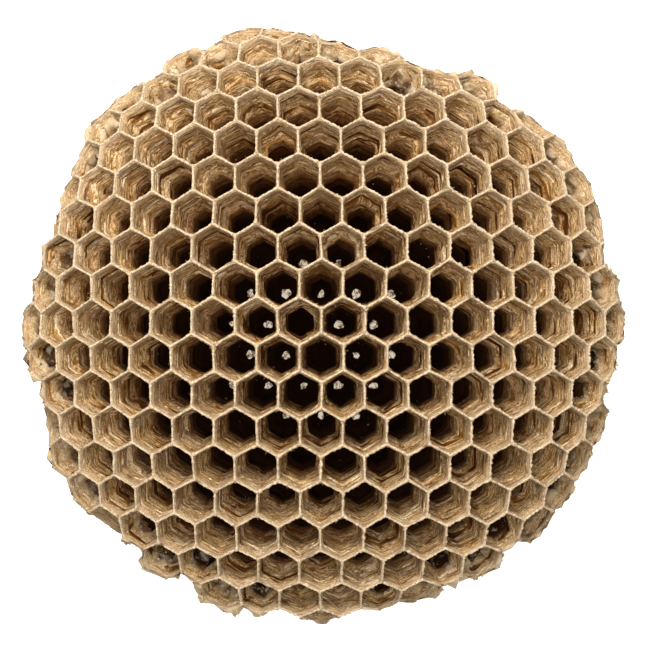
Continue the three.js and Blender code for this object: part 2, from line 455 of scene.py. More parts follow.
@dataclass(frozen=True)
class PlainFinish:
    """A finish of two mixed tones with a grain and a bump, for the lips, fibres and stalk.

    The fresh pulp of the lips is pale and felt-like; the stalk is pulp soaked with hardened
    saliva, which makes it dark and slightly shiny.
    """

    name: str
    dark: str
    light: str
    grain_mm: float
    roughness: float
    bump_mm: float
    stretch: tuple[float, float, float] = (1.0, 1.0, 1.0)
    sheen: float = 0.08
    grain_detail: float = 4.0
    grain_rough: float = 0.65
    tones_at: tuple[float, float] = (0.35, 0.62)  # where in the noise the two tones are pure
    bump_strength: float = 0.8

    def material(self) -> bpy.types.Material:
        """Builds the material.

        Returns:
            The finished material.
        """
        material, graph = new_material(self.name)
        where = graph.add("ShaderNodeMapping", {"Vector": graph.place(), "Scale": self.stretch})
        scale = 1 / (self.grain_mm * MM)
        grain = graph.noise(where, scale, self.grain_detail, self.grain_rough)
        stops = tuple(zip(self.tones_at, (self.dark, self.light)))
        graph.surface(self, graph.ramp(grain, stops), grain)
        return material


@dataclass(frozen=True)
class WornFilm:
    """Paper worn so thin that light comes through: tan where it is thicker, else cream."""

    name: str = "worn_paper_film"
    tones: tuple[tuple[float, str], ...] = ((0.36, "B0946E"), (0.52, "FFFCF4"))
    grain_mm: float = 0.9
    grain_detail: float = 3.0
    cover: float = 0.12  # share of the light that the film sends back itself

    def material(self) -> bpy.types.Material:
        """Builds the material.

        Returns:
            The finished material.
        """
        material, graph = new_material(self.name)
        grain = graph.noise(graph.place(), 1 / (self.grain_mm * MM), self.grain_detail)
        tint = {"Color": graph.ramp(grain, self.tones)}
        through = graph.add("ShaderNodeBsdfTransparent", tint)
        matt = graph.add("ShaderNodeBsdfDiffuse", tint)
        film = graph.add("ShaderNodeMixShader", {0: self.cover, 1: through, 2: matt})
        graph.end("ShaderNodeOutputMaterial", film)
        return material


# ---------------------------------------------------------------- the honeycomb


@dataclass(frozen=True)
class Row:
    """One row of cells: its number, its first and last cell, and the odd ones among them.

    unfinished gives the share of its height that a rim cell's outer wall has, and pierced
    names the cells with a hole in the floor.
    """

    row: int
    first: int
    last: int
    unfinished: dict[int, float] = field(default_factory=dict)
    pierced: tuple[int, ...] = ()


ROWS = (
    Row(-9, -1, 1, {-1: 0.5, 0: 0.8, 1: 0.5}),
    Row(-8, -2, 3, {2: 0.9, 3: 0.85}),
    Row(-7, -4, 4),
    Row(-6, -5, 6, {-5: 0.75}),
    Row(-5, -6, 6),
    Row(-4, -6, 7),
    Row(-3, -7, 7, {-7: 0.75}, (-1, 0, 1)),
    Row(-2, -6, 7, {}, (-2, -1, 0, 1, 2)),
    Row(-1, -7, 7, {}, (-2, -1, 1, 2)),
    Row(0, -7, 8, {-7: 0.88}, (-2, -1, 1, 2)),
    Row(1, -7, 7, {-7: 0.9}, (-2, -1, 0, 1, 2)),
    Row(2, -6, 7, {}, (0, 1)),
    Row(3, -7, 7, {-7: 0.6, 7: 0.88}),
    Row(4, -6, 7, {-6: 0.75}),
    Row(5, -6, 6, {-6: 0.85}),
    Row(6, -5, 6, {5: 0.9, 6: 0.8}),
    Row(7, -5, 4, {-5: 0.9, 3: 0.8, 4: 0.9}),
    Row(8, -3, 2, {1: 0.8, 2: 0.75}),
    Row(9, -2, -1, {-2: 0.9, -1: 0.75}),
)


@dataclass
class Corner:
    """A corner of the honeycomb, with the cells that meet there and its ends in space."""

    place: Point
    cells: list[Cell] = field(default_factory=list)
    mouth: Point | None = None
    floor: Point | None = None

    @property
    def is_rim(self) -> bool:
        """Whether fewer than three cells meet here."""
        return len(self.cells) < 3

    def at(self, share: float) -> Point:
        """The point at a share of the way from the mouth to the floor."""
        return self.mouth + (self.floor - self.mouth) * share


@dataclass
class Cell:
    """One cell, with the keys of its six corners."""

    number: int
    built: float
    is_pierced: bool
    is_root: bool
    keys: list[Key] = field(default_factory=list)


@dataclass
class Honeycomb:
    """Where every cell stands: a dome of mouths over a flatter sheet of floors."""

    pitch: float = 8.5
    row_squeeze: float = 0.985
    cell_depth: float = 25.5
    rim_depth: float = 5.5
    comb_top: float = 33.0
    crown: tuple[float, float] = (13.08, 2.0)
    crown_cell: tuple[float, float] = (1.95, -0.05)
    crown_bend: float = 0.052
    rim_bend: float = 0.69
    rim_power: int = 5
    rim_reach: float = 8.0
    rim_skew: tuple[float, float] = (-0.224, 0.03)
    steepest: float = 1.5
    lean: tuple[float, float] = (0.069, 0.039)
    base_centre: tuple[float, float] = (0.63, 1.68)
    base_cell: tuple[float, float] = (0.5, 0.0)
    base_scale: float = 0.861
    base_shrink: float = 0.0017
    base_dish: float = 2.2
    base_reach: float = 8.6
    root_cells: tuple[tuple[int, int], ...] = ((0, 0), (0, -1))
    wander: float = 0.16  # how far a corner strays from the rule
    bend_steps: int = 48
    key_steps: int = 1000
    seed: int = 7
    cells: list[Cell] = field(default_factory=list)
    corners: dict[Key, Corner] = field(default_factory=dict)

    def lay_out(self) -> None:
        """Fills the lists of cells and corners, and places each corner in space."""
        for row in ROWS:
            for column in range(row.first, row.last + 1):
                self.add_cell(row, column)
        stray = random.Random(self.seed)
        for corner in self.corners.values():
            corner.mouth = self.mouth_point(corner.place)
            corner.floor = self.floor_point(corner.place)
            if corner.is_rim:
                built = max(cell.built for cell in corner.cells)
                rise = corner.mouth - corner.floor
                corner.mouth = corner.floor + rise * built
                deep = float(np.linalg.norm(rise)) * built
                way = rise / np.linalg.norm(rise)
                corner.floor = corner.mouth - way * min(self.rim_depth, deep)
            for end in (corner.mouth, corner.floor):
                end += [stray.uniform(-self.wander, self.wander) for _ in range(3)]

    def add_cell(self, row: Row, column: int) -> None:
        """Adds one cell and enters it at its corners.

        Args:
            row: the cell's row.
            column: its number in the row.
        """
        place = np.array([column + (row.row & 1) / 2, row.row * ROW_RISE])
        cell = Cell(
            number=len(self.cells),
            built=row.unfinished.get(column, 1.0),
            is_pierced=column in row.pierced,
            is_root=(column, row.row) in self.root_cells,
        )
        for side in range(SIDES):
            angle = (side + 0.5) * math.pi / 3
            corner = place + CORNER_RADIUS * np.array([math.cos(angle), math.sin(angle)])
            key = (round(corner[0] * self.key_steps), round(corner[1] * self.key_steps))
            self.corners.setdefault(key, Corner(corner)).cells.append(cell)
            cell.keys.append(key)
        self.cells.append(cell)

    def mouth_point(self, place: Point) -> Point:
        """Finds where the dome of mouths passes through a place.

        Args:
            place: the place, counted in cells.

        Returns:
            The point in millimetres.
        """
        across = place - np.array(self.crown_cell)
        away = float(np.hypot(*across))
        skew = float(across @ np.array(self.rim_skew)) / away if away > 0 else 0.0
        along = (np.arange(self.bend_steps) + 0.5) / self.bend_steps * away
        reach = self.rim_reach * (1 + skew)
        bend = self.crown_bend * along + self.rim_bend * (along / reach) ** self.rim_power
        slope = np.minimum(bend, self.steepest)
        out = float(np.cos(slope).mean())
        drop = float(np.sin(slope).mean()) * away
        x, y, z = across[0] * out, across[1] * out * self.row_squeeze, -drop
        tip = -self.lean[1]
        y, z = y * math.cos(tip) - z * math.sin(tip), y * math.sin(tip) + z * math.cos(tip)
        tip = self.lean[0]
        x, z = x * math.cos(tip) + z * math.sin(tip), z * math.cos(tip) - x * math.sin(tip)
        return np.array([x, y, z]) * self.pitch + np.array([*self.crown, self.comb_top])

    def floor_point(self, place: Point) -> Point:
        """Finds where the sheet of floors passes through a place.

        Args:
            place: the place, counted in cells.

        Returns:
            The point in millimetres.
        """
        across = place - np.array(self.base_cell)
        away = float(np.hypot(*across))
        scale = self.pitch * self.base_scale * (1 - self.base_shrink * away * away)
        dish = self.base_dish * math.sin(math.pi * min(away / self.base_reach, 1))
        x, y = np.array(self.base_centre) + across * scale
        return np.array([x, y, self.comb_top - self.cell_depth + dish])


@dataclass
class Tube:
    """The inside of one cell, from its mouth to its floor."""

    mouth: Point
    floor: Point
    marks: int
    seed: float
    length: float
    ledges: tuple[tuple[float, float], ...]  # depth, and how far the wall steps in there

    @classmethod
    def of(cls, comb: Honeycomb, cell: Cell, marks: Sequence[float]) -> Tube:
        """Takes the tube from the honeycomb.

        Args:
            comb: the honeycomb.
            cell: the cell.
            marks: the shares of a side at which it has points.

        Returns:
            The tube on the middle of the cell's walls.
        """
        ends = []
        for name in ("mouth", "floor"):
            corners = np.array([getattr(comb.corners[key], name) for key in cell.keys])
            after = np.roll(corners, -1, axis=0)
            rows = [corners + (after - corners) * mark for mark in marks]
            ends.append(np.stack(rows, axis=1).reshape(-1, 3))
        length = float(np.linalg.norm(ends[1].mean(axis=0) - ends[0].mean(axis=0)))
        ledges = cls.draw_ledges(length, random.Random(cell.number))
        return cls(*ends, len(marks), SEED_STEP * cell.number, length, ledges)

    @staticmethod
    def draw_ledges(length: float, chance: random.Random) -> tuple[tuple[float, float], ...]:
        """Draws where the walls get thicker, because a cell was built on in several goes.

        Args:
            length: how deep the cell is.
            chance: the source of the draw.

        Returns:
            The depth of each ledge and how far the wall steps in there.
        """
        drawn = [(length * chance.uniform(*at), chance.uniform(*step)) for at, step in LEDGES]
        return tuple(drawn) if length > LEDGED_FROM else ()

    def narrowing(self, depth: float | Point) -> Point:
        """How far the ledges above a depth have brought the wall in."""
        depths = np.asarray(depth, dtype=float)
        return sum(step * np.clip((depths - at) / LEDGE_DROP, 0, 1) for at, step in self.ledges)

    @property
    def youth(self) -> float:
        """How young and rough the cell is: 1 at the rim, and little in the middle."""
        old, young = YOUNG_DEPTHS
        return float(np.clip((old - self.length) / (old - young), *YOUTHS))

    @property
    def age(self) -> float:
        """How stained and darkened with painted shade the cell is: 1 in the middle, and less at the
        rim.
        """
        new, old = AGED_DEPTHS
        return float(np.clip((self.length - new) / (old - new), *AGES))

    def outline(self, depth: float | Point) -> Point:
        """The points on the middle of the walls at a depth, or at one depth for each."""
        share = np.broadcast_to(np.asarray(depth) / self.length, len(self.mouth))
        return self.mouth + (self.floor - self.mouth) * share[:, None]

    def ring(self, depth: float | Point, inward: float | Point, rounding: float) -> Point:
        """The points on the face of the walls at a depth.

        Args:
            depth: how far below the lip.
            inward: how far in from the middle of the walls, or how far at each point.
            rounding: how much farther in the corners are.

        Returns:
            The points of the ring.
        """
        outline = self.outline(depth)
        middle = outline.mean(axis=0)
        flats = outline[self.marks // 2 :: self.marks]
        apothem = np.linalg.norm(flats - middle, axis=1).mean()
        inward = np.asarray(inward) + self.narrowing(depth)
        share = np.broadcast_to(inward / apothem, len(outline))
        drawn = outline + (middle - outline) * share[:, None]
        corners = drawn[:: self.marks]
        away = middle - corners
        rounded = rounding / np.linalg.norm(away, axis=1)
        drawn[:: self.marks] = corners + away * rounded[:, None]
        return drawn


# ---------------------------------------------------------------- mesh building


def up(height: float) -> Point:
    """A step straight up."""
    return np.array([0.0, 0.0, height])


def circle(angles: Point, radius: float | Point, height: float | Point) -> Point:
    """The points at these angles round the origin, at a radius and a height."""
    rows = (radius * np.cos(angles), radius * np.sin(angles), height + 0 * angles)
    return np.stack(rows, axis=1)


def waves(
    turn: Point, parts: Sequence[tuple[float, int]], shifts: Sequence[float], base: float = 0.0
) -> Point:
    """Adds up waves round a ring, each with its height and its number of turns."""
    parts = zip(parts, shifts)
    return sum((high * np.sin(times * turn + shift) for (high, times), shift in parts), base)


def stand(name: str, data: bpy.types.ID) -> Object:
    """Puts a new object in the scene.

    Args:
        name: the object's name.
        data: its mesh, light or camera.

    Returns:
        The object.
    """
    made = bpy.data.objects.new(name, data)
    bpy.context.scene.collection.objects.link(made)
    return made


@dataclass(frozen=True)
class Paper:
    """What the paper is like at a point.

    depth is millimetres below the lip and down the share of the way to the floor. tone shifts
    the colour of the strip, and age is how stained and how darkened with painted shade the cell
    is. lumps is how lumpy and patchy the paper is, fuzz how many loose fibres and crumbs it has,
    and scraps how many scraps.
    """

    depth: float = 0.0
    seed: float = 0.0
    tone: float = 0.0
    age: float = 0.0
    lumps: float = 0.0
    fuzz: float = 0.0
    scraps: float = 0.0
    down: float = 0.0


@dataclass
class Skin:
    """The points and faces of a mesh while it is built, with the paper's own coordinates."""

    points: list[Point] = field(default_factory=list)
    across: list[tuple[float, float]] = field(default_factory=list)
    papers: list[Paper] = field(default_factory=list)
    faces: list[tuple[int, ...]] = field(default_factory=list)
    slots: list[int] = field(default_factory=list)

    def add(self, point: Point, paper: Paper, across: Sequence[float] = (0.0, 0.0)) -> int:
        """Adds a point.

        Args:
            point: where it is, in millimetres.
            paper: what the paper is like there.
            across: its place across the cell.

        Returns:
            The point's number.
        """
        self.points.append(np.asarray(point, dtype=float))
        self.across.append((float(across[0]), float(across[1])))
        self.papers.append(paper)
        return len(self.points) - 1

    def add_ring(self, ring: Point, depth: float | Point, paper: Paper) -> list[int]:
        """Adds a ring of points inside a cell.

        Args:
            ring: the points.
            depth: how far below the lip they are, or how far each one is.
            paper: what the paper is like there, apart from the depth.

        Returns:
            The points' numbers.
        """
        middle = ring.mean(axis=0)
        depths = np.broadcast_to(np.asarray(depth, dtype=float), len(ring))
        return [
            self.add(point, replace(paper, depth=float(down)), (point - middle)[:2])
            for point, down in zip(ring, depths)
        ]

    def add_outside(self, ring: Point, paper: Paper) -> list[int]:
        """Adds a ring of points on the outside, where the pattern runs through all cells."""
        return [self.add(point, paper, point[:2]) for point in ring]

    def at(self, numbers: Sequence[int]) -> Point:
        """Where the points with these numbers are."""
        return np.array([self.points[number] for number in numbers])

    def face(self, corners: tuple[int, ...], surface: Surface) -> None:
        """Adds a face whose corners run anticlockwise seen from outside."""
        self.faces.append(corners)
        self.slots.append(surface.value)

    def band(self, start: Sequence[int], end: Sequence[int], surface: Surface) -> None:
        """Joins two rings that run anticlockwise seen from above.

        Args:
            start: the lower ring if the band faces out, the outer one if it faces up.
            end: the other ring, with as many points.
            surface: the kind of surface.
        """
        for (low, after_low), (high, after_high) in zip(around(start), around(end)):
            self.face((low, after_low, after_high, high), surface)

    def widening_band(self, start: Sequence[int], end: Sequence[int], surface: Surface) -> None:
        """Joins a ring to one with twice as many points, which lies inside it.

        Args:
            start: the outer ring.
            end: the inner ring, whose even points face those of the outer one.
            surface: the kind of surface.
        """
        facing, between = end[::2], end[1::2]
        for outer, inner, middle in zip(around(start), around(facing), between):
            self.face((*outer, inner[1], middle, inner[0]), surface)

    def fan(self, ring: Sequence[int], middle: int, surface: Surface) -> None:
        """Closes a ring with triangles round a middle point, which face up."""
        for here, after in around(ring):
            self.face((here, after, middle), surface)

    def build(self, name: str) -> Object:
        """Makes the mesh object.

        Args:
            name: the object's name.

        Returns:
            The object, with its attributes.
        """
        mesh = bpy.data.meshes.new(name)
        mesh.from_pydata(np.array(self.points) * MM, [], self.faces)
        mesh.polygons.foreach_set("material_index", self.slots)
        mesh.polygons.foreach_set("use_smooth", [True] * len(self.faces))
        depths = np.array([paper.depth for paper in self.papers])
        coordinates = np.column_stack([np.array(self.across), depths])
        layer = mesh.attributes.new("paper", "FLOAT_VECTOR", "POINT")
        layer.data.foreach_set("vector", coordinates.ravel())
        for title in ("seed", "tone", "age", "lumps", "fuzz", "scraps", "down"):
            layer = mesh.attributes.new(title, "FLOAT", "POINT")
            layer.data.foreach_set("value", [getattr(paper, title) for paper in self.papers])
        return stand(name, mesh)


# ---------------------------------------------------------------- geometry trees


def new_graph(name: str, values: dict[str, Any]) -> tuple[Graph, bpy.types.NodeOutputs]:
    """Makes a geometry tree with named inputs.

    Args:
        name: the tree's name.
        values: a value for each input besides the geometry, of the kind that it takes.

    Returns:
        The tree's nodes, and what comes in.
    """
    tree = bpy.data.node_groups.new(name, "GeometryNodeTree")
    tree.is_modifier = True
    for way in ("OUTPUT", "INPUT"):
        tree.interface.new_socket("Geometry", in_out=way, socket_type="NodeSocketGeometry")
    for title, value in values.items():
        kind = SOCKET_KINDS[type(value)]
        tree.interface.new_socket(title, in_out="INPUT", socket_type=kind)
    return Graph(tree), tree.nodes.new("NodeGroupInput").outputs


def apply_nodes(thing: Object, tree: Tree, values: dict[str, Any]) -> Object:
    """Runs a geometry tree on an object and keeps the result as its plain mesh.

    Args:
        thing: the object.
        tree: the tree, with named inputs.
        values: a value for each named input.

    Returns:
        The same object with its new mesh and no modifier.
    """
    modifier = thing.modifiers.new(tree.name, "NODES")
    modifier.node_group = tree
    for item in tree.interface.items_tree:
        if item.in_out == "INPUT" and item.name in values:
            modifier[item.identifier] = values[item.name]
    graph = bpy.context.evaluated_depsgraph_get()
    mesh = bpy.data.meshes.new_from_object(
        thing.evaluated_get(graph), preserve_all_data_layers=True, depsgraph=graph
    )
    thing.modifiers.remove(modifier)
    thing.data = mesh
    return thing


RELIEF = {
    "Terrace height": 1.0 * MM,
    "Terrace spacing": 1.9,
    "Lump height": 7.5 * MM,
    "Lump size": 2.5 * MM,
    "Crease depth": -3.0 * MM,
    "Crease size": 2.0 * MM,
    "Deepest": -0.22 * MM,
}
TERRACE_RUN = 0.24  # how fast a terrace changes round a cell
LIP_ENDS = (0.2, 1.2)  # depths between which the lip's smooth edge turns into terraces
NOISE_MIDDLE = 0.42
COLOUR_MIDDLE = (0.5, 0.5, 0.5)
HALF_OF_NOISE = (0.25, 0.75)
TERRACE_NOISE = (2.0, 0.6)  # finer layers, and how strong they are
LUMP_NOISE = (3.0, 0.65)
STRAND_NOISE = (3.0, 0.7)
SCRAP_NOISE = (2.0, 0.6)
SCRAP_FOLDS = 3.0  # folds along a scrap
END_POWER = 6.0  # how suddenly a strand swells at its ends


def relief_tree() -> Tree:
    """Builds the tree that raises terraces and lumps on the paper.

    Returns:
        A tree that moves each point along its normal by three noises: one that follows the
        strips of pulp round the cell, and the lumps and creases of the paper at the rim.
    """
    graph, given = new_graph("paper_relief", RELIEF)
    paper = graph.named("paper", "FLOAT_VECTOR")
    depth = graph.add("ShaderNodeSeparateXYZ", {0: paper}, 2)
    level = graph.math("DIVIDE", depth, given["Terrace spacing"])
    flat = graph.vector("MULTIPLY", paper, (TERRACE_RUN, TERRACE_RUN, 0.0))
    where = graph.vector("ADD", flat, graph.add("ShaderNodeCombineXYZ", {2: level}))
    where = graph.vector("ADD", where, graph.named("seed"))
    terrace = graph.noise(where, 1.0, *TERRACE_NOISE)
    links = dict(enumerate((depth, *LIP_ENDS)))
    is_below_lip = graph.add("ShaderNodeMapRange", links)
    where = graph.vector("DIVIDE", graph.position(), given["Lump size"])
    lump = graph.noise(where, 1.0, *LUMP_NOISE)
    where = graph.vector("DIVIDE", graph.position(), given["Crease size"])
    crease = graph.add("ShaderNodeTexVoronoi", {"Vector": where, "Scale": 1.0}, feature="F1")
    lumps = graph.named("lumps")
    total = 0.0
    for noise, mask, height in (
        (terrace, is_below_lip, "Terrace height"),
        (lump, lumps, "Lump height"),
        (crease, lumps, "Crease depth"),
    ):
        masked = graph.math("MULTIPLY", graph.math("SUBTRACT", noise, NOISE_MIDDLE), mask)
        total = graph.math("ADD", total, graph.math("MULTIPLY", masked, given[height]))
    kept = {"Geometry": given["Geometry"], "Name": "relief", "Value": total}
    kept = graph.add("GeometryNodeStoreNamedAttribute", kept, data_type="FLOAT", domain="POINT")
    within_wall = graph.math("MAXIMUM", total, given["Deepest"])
    offset = graph.scaled(graph.add("GeometryNodeInputNormal"), within_wall)
    moved = graph.add("GeometryNodeSetPosition", {"Geometry": kept, "Offset": offset})
    graph.end("NodeGroupOutput", moved)
    return graph.tree


@dataclass(frozen=True)
class Strand:
    """How thick, how uneven and how wandering a strand of pulp is."""

    step: float
    radius: float
    unevenness: float
    wander: float
    end_swell: float
    grain: float
    sides: int

    def sweep(
        self,
        name: str,
        points: Sequence[Point],
        edges: Sequence[tuple[int, int]],
        finish: PlainFinish,
    ) -> Object:
        """Turns edges into strands.

        Args:
            name: the new object's name.
            points: the ends of the edges, in millimetres.
            edges: the edges.
            finish: what the strands are made of.

        Returns:
            The strands' object.
        """
        mesh = bpy.data.meshes.new(name)
        mesh.from_pydata([point * MM for point in points], edges, [])
        values = {
            "Step": self.step * MM,
            "Radius": self.radius * MM,
            "Unevenness": self.unevenness,
            "Wander": self.wander * MM,
            "End swell": self.end_swell,
            "Grain": self.grain * MM,
            "Sides": self.sides,
            "Material": finish.material(),
        }
        return apply_nodes(stand(name, mesh), strand_tree(values), values)


def strand_tree(values: dict[str, Any]) -> Tree:
    """Builds the tree that turns edges into strands of pulp.

    Args:
        values: a value for each of its inputs.

    Returns:
        A tree that makes each edge a curve, lets it wander, and sweeps a round section of
        uneven thickness along it.
    """
    graph, given = new_graph("pulp_strands", values)
    curve = graph.add("GeometryNodeMeshToCurve", {0: given["Geometry"]})
    links = {"Curve": curve, "Length": given["Step"]}
    curve = graph.add("GeometryNodeResampleCurve", links, mode="LENGTH")
    where = graph.vector("DIVIDE", graph.position(), given["Grain"])
    noise = graph.noise(where, 1.0, *STRAND_NOISE)
    centred = graph.vector("SUBTRACT", noise.node.outputs[1], COLOUR_MIDDLE)
    offset = graph.scaled(centred, given["Wander"])
    curve = graph.add("GeometryNodeSetPosition", {"Geometry": curve, "Offset": offset})
    ends = dict(enumerate((noise, *HALF_OF_NOISE, -1.0, 1.0)))
    uneven = graph.add("ShaderNodeMapRange", ends, clamp=False)
    uneven = graph.math("MULTIPLY_ADD", uneven, given["Unevenness"], 1.0)
    along = graph.add("GeometryNodeSplineParameter")
    near_end = graph.math("POWER", graph.math("MULTIPLY_ADD", along, 2.0, -1.0), END_POWER)
    swell = graph.math("MULTIPLY_ADD", near_end, given["End swell"], uneven)
    radius = graph.math("MULTIPLY", swell, given["Radius"])
    links = {"Resolution": given["Sides"], "Radius": 1.0}
    section = graph.add("GeometryNodeCurvePrimitiveCircle", links)
    links = {"Curve": curve, "Profile Curve": section, "Scale": radius, "Fill Caps": True}
    swept = graph.add("GeometryNodeCurveToMesh", links)
    real = graph.add("GeometryNodeRealizeInstances", {0: swept})
    dress(graph, graph.add("GeometryNodeSetShadeSmooth", {0: real}), given)
    return graph.tree


def dress(graph: Graph, mesh: Socket, given: bpy.types.NodeOutputs) -> None:
    """Ends a geometry tree by giving its mesh the material that came in."""
    links = {"Geometry": mesh, "Material": given["Material"]}
    graph.end("NodeGroupOutput", graph.add("GeometryNodeSetMaterial", links))


# ---------------------------------------------------------------- the comb


@dataclass
class Comb:
    """The paper comb itself, one closed skin from the lips down to the cut of the stalk."""

    honeycomb: Honeycomb
    marks: tuple[float, ...] = (0.0, 0.12, 0.5, 0.88)  # points along each side of a cell
    half_wall: float = 0.17  # half the paper between two cells below the lip
    lip_rise: float = 0.10
    nibble: float = 0.48  # how uneven the top of a lip is
    nibble_odds: float = 0.08
    bite: float = 0.9  # how deep the worst nibbles go
    outer_droop: float = 0.9  # how far the outer lips of the rim cells sag
    outer_lumps: float = 0.6
    lip_rings: tuple[tuple[float, float, float], ...] = (
        (0.12, 0.19, 0.30),
        (0.50, 0.26, 0.26),
        (1.20, 0.21, 0.14),
    )  # depth below the lip, half thickness of the wall, rounding of the corner
    fuzzy_depth: float = 2.0  # the fibres and crumbs thin out down to here
    fuzzy_wall: float = 0.25
    lumpy_from: float = 0.4  # share of the depth at which a wall is as lumpy as its floor
    wall_rings: int = 4
    ring_crowding: float = 1.3
    corner_round: float = 0.08
    floor: float = 0.8
    floor_bowl: float = 0.7
    old_bowl: tuple[float, ...] = (0.72,)  # rings of the floor, as shares of its width
    young_bowl: tuple[float, ...] = (0.85, 0.68, 0.51, 0.34, 0.17)
    young_from: float = 0.25
    back_ring: tuple[float, float] = (0.62, 0.6)  # its shares of the width and of the bulge
    back_paper: Paper = Paper(depth=6.0, lumps=0.35)
    hole_radius: float = 1.0
    hole_sizes: tuple[float, float] = (0.85, 1.05)
    hole_squeeze: float = 0.3
    hole_wave: float = 0.08
    hole_turns: tuple[int, ...] = (2, 3, 5)
    hole_age: float = 0.8  # its torn edge is less stained and less darkened with painted shade than the floor
    outer_rings: int = 10
    outer_half_wall: float = 0.26
    outer_bulge: float = 0.5
    outer_tilt: float = 0.3  # how much of its slope the way out of the comb keeps
    bulge_speed: float = 1.15  # above 1, it ends before the foot of the wall
    bulge_least: float = 0.35  # its share at the corners
    scraps_down: float = 0.4  # share of the wall that has scraps
    outer_growth: float = 2.0  # how fast the wall gets lumpier from the lip down
    outer_depth: tuple[float, float] = (0.4, 10.0)  # at the lip, and how much more below
    outer_seed: float = 5.0
    foot_curve: int = 4  # how late the wall drops to the level of the back
    neck: tuple[float, float] = (0.75, 0.75)  # shares of the root's size along X and Y
    foot: tuple[float, float] = (1.15, 0.95)
    flutes: tuple[tuple[float, int], ...] = ((0.05, 11), (0.03, 17))  # depth, and number
    flute_shifts: tuple[float, float] = (1.0, 0.0)
    stalk_lean: float = 0.5
    stalk_rings: int = 10
    stalk_paper: Paper = Paper(depth=2.0)
    stalk_lumps: float = 0.5
    skin: Skin = field(default_factory=Skin)
    crests: dict[tuple, int] = field(default_factory=dict)
    unders: dict[tuple, int] = field(default_factory=dict)
    outers: dict[tuple, int] = field(default_factory=dict)
    chance: random.Random = field(default_factory=lambda: random.Random(19))

    def edge_key(self, start: Key, end: Key, mark: int) -> tuple:
        """Names a point along a side so that both its cells find the same one.

        Args:
            start: key of the corner that the side runs from.
            end: key of the corner that it runs to.
            mark: which of the marks along it.

        Returns:
            A key that doesn't depend on the direction.
        """
        if mark == 0:
            return (start,)
        return (start, end, mark) if start < end else (end, start, len(self.marks) - mark)

    def is_outer(self, key: tuple) -> bool:
        """Tells whether a point of a lip is at the rim.

        Args:
            key: the point's key.

        Returns:
            True for a rim corner and for a point on a side that only one cell has.
        """
        if len(key) == 1:
            return self.honeycomb.corners[key[0]].is_rim
        here, there = (self.honeycomb.corners[end].cells for end in key[:2])
        return len({cell.number for cell in here} & {cell.number for cell in there}) == 1

    def side_keys(self, start: Key, end: Key) -> list[tuple]:
        """The keys of the points along a side, without its end."""
        return [self.edge_key(start, end, mark) for mark in range(len(self.marks))]

    def ring_keys(self, cell: Cell) -> list[tuple]:
        """The keys of the points round a cell, side by side and mark by mark."""
        return [key for ends in around(cell.keys) for key in self.side_keys(*ends)]

    def tube(self, cell: Cell) -> Tube:
        """The inside of a cell, with a point at each of the marks."""
        return Tube.of(self.honeycomb, cell, self.marks)

    def build_inside(self, cell: Cell) -> None:
        """Builds the walls, lip and floor of one cell."""
        tube = self.tube(cell)
        start = self.lip_rings[-1][0]
        depths = [at + drop for at, _ in tube.ledges for drop in (0.0, LEDGE_DROP)]
        for step in range(1, self.wall_rings + 1):
            share = (step / self.wall_rings) ** self.ring_crowding
            depths.append(start + (tube.length - start) * share)
        walls = [(depth, self.half_wall, self.corner_round) for depth in depths]
        above = self.crest_ring(cell, tube)
        for depth, half_wall, rounding in sorted([*self.lip_rings, *walls]):
            down = depth / tube.length
            lumps = tube.youth * min(down / self.lumpy_from, 1.0) ** 2
            fuzz = max(self.fuzzy_wall * tube.youth, 1 - depth / self.fuzzy_depth)
            paper = Paper(seed=tube.seed, age=tube.age, lumps=lumps, fuzz=fuzz, down=down)
            ring = self.skin.add_ring(tube.ring(depth, half_wall, rounding), depth, paper)
            self.skin.band(above, ring, Surface.CELL)
            above = ring
        self.build_floor(cell, tube, above)

    def crest_ring(self, cell: Cell, tube: Tube) -> list[int]:
        """Finds or adds the points on top of the lip round a cell.

        Args:
            cell: the cell.
            tube: its inside.

        Returns:
            The points' numbers.
        """
        ring = []
        for key, point in zip(self.ring_keys(cell), tube.mouth):
            if key not in self.crests:
                rise = self.lip_rise - self.nibble * self.chance.random() ** 2
                if self.chance.random() < self.nibble_odds:
                    rise -= self.bite * self.chance.random()
                lumps = 0.0
                if self.is_outer(key):
                    rise -= self.outer_droop * self.chance.random()
                    lumps = self.outer_lumps
                paper = Paper(seed=tube.seed, lumps=lumps, fuzz=1.0, scraps=lumps)
                self.crests[key] = self.skin.add(point + up(rise), paper)
            ring.append(self.crests[key])
        return ring

    def build_floor(self, cell: Cell, tube: Tube, edge: list[int]) -> None:
        """Builds the bowl of a cell's floor, with its hole if it has one.

        Args:
            cell: the cell.
            tube: its inside.
            edge: the lowest ring of the walls.
        """
        paper = Paper(seed=tube.seed, age=tube.age, lumps=tube.youth, down=1.0)
        points = self.skin.at(edge)
        middle = points.mean(axis=0)
        is_young = tube.youth > self.young_from
        if is_young:
            points = self.doubled(points)
        radius = CORNER_RADIUS * self.honeycomb.pitch
        ring = edge
        for share in self.young_bowl if is_young else self.old_bowl:
            inner = middle + (points - middle) * share
            inner[:, 2] -= self.floor_bowl * (1 - share**2)
            numbers = self.skin.add_ring(inner, tube.length + (1 - share) * radius, paper)
            is_wider = len(numbers) > len(ring)
            join = self.skin.widening_band if is_wider else self.skin.band
            join(ring, numbers, Surface.CELL)
            ring = numbers
        if cell.is_pierced:
            upper = self.hole_ring(cell, tube, self.floor_bowl)
            lower = self.hole_ring(cell, tube, self.floor_bowl + self.floor)
            self.skin.band(ring, upper, Surface.CELL)
            self.skin.band(upper, lower, Surface.CELL)
            self.build_back(cell, tube, lower)
            return
        deepest = replace(paper, depth=tube.length + radius)
        sunk = self.skin.add(middle - up(self.floor_bowl), deepest)
        self.skin.fan(ring, sunk, Surface.CELL)
        if not cell.is_root:
            self.build_back(cell, tube, [])

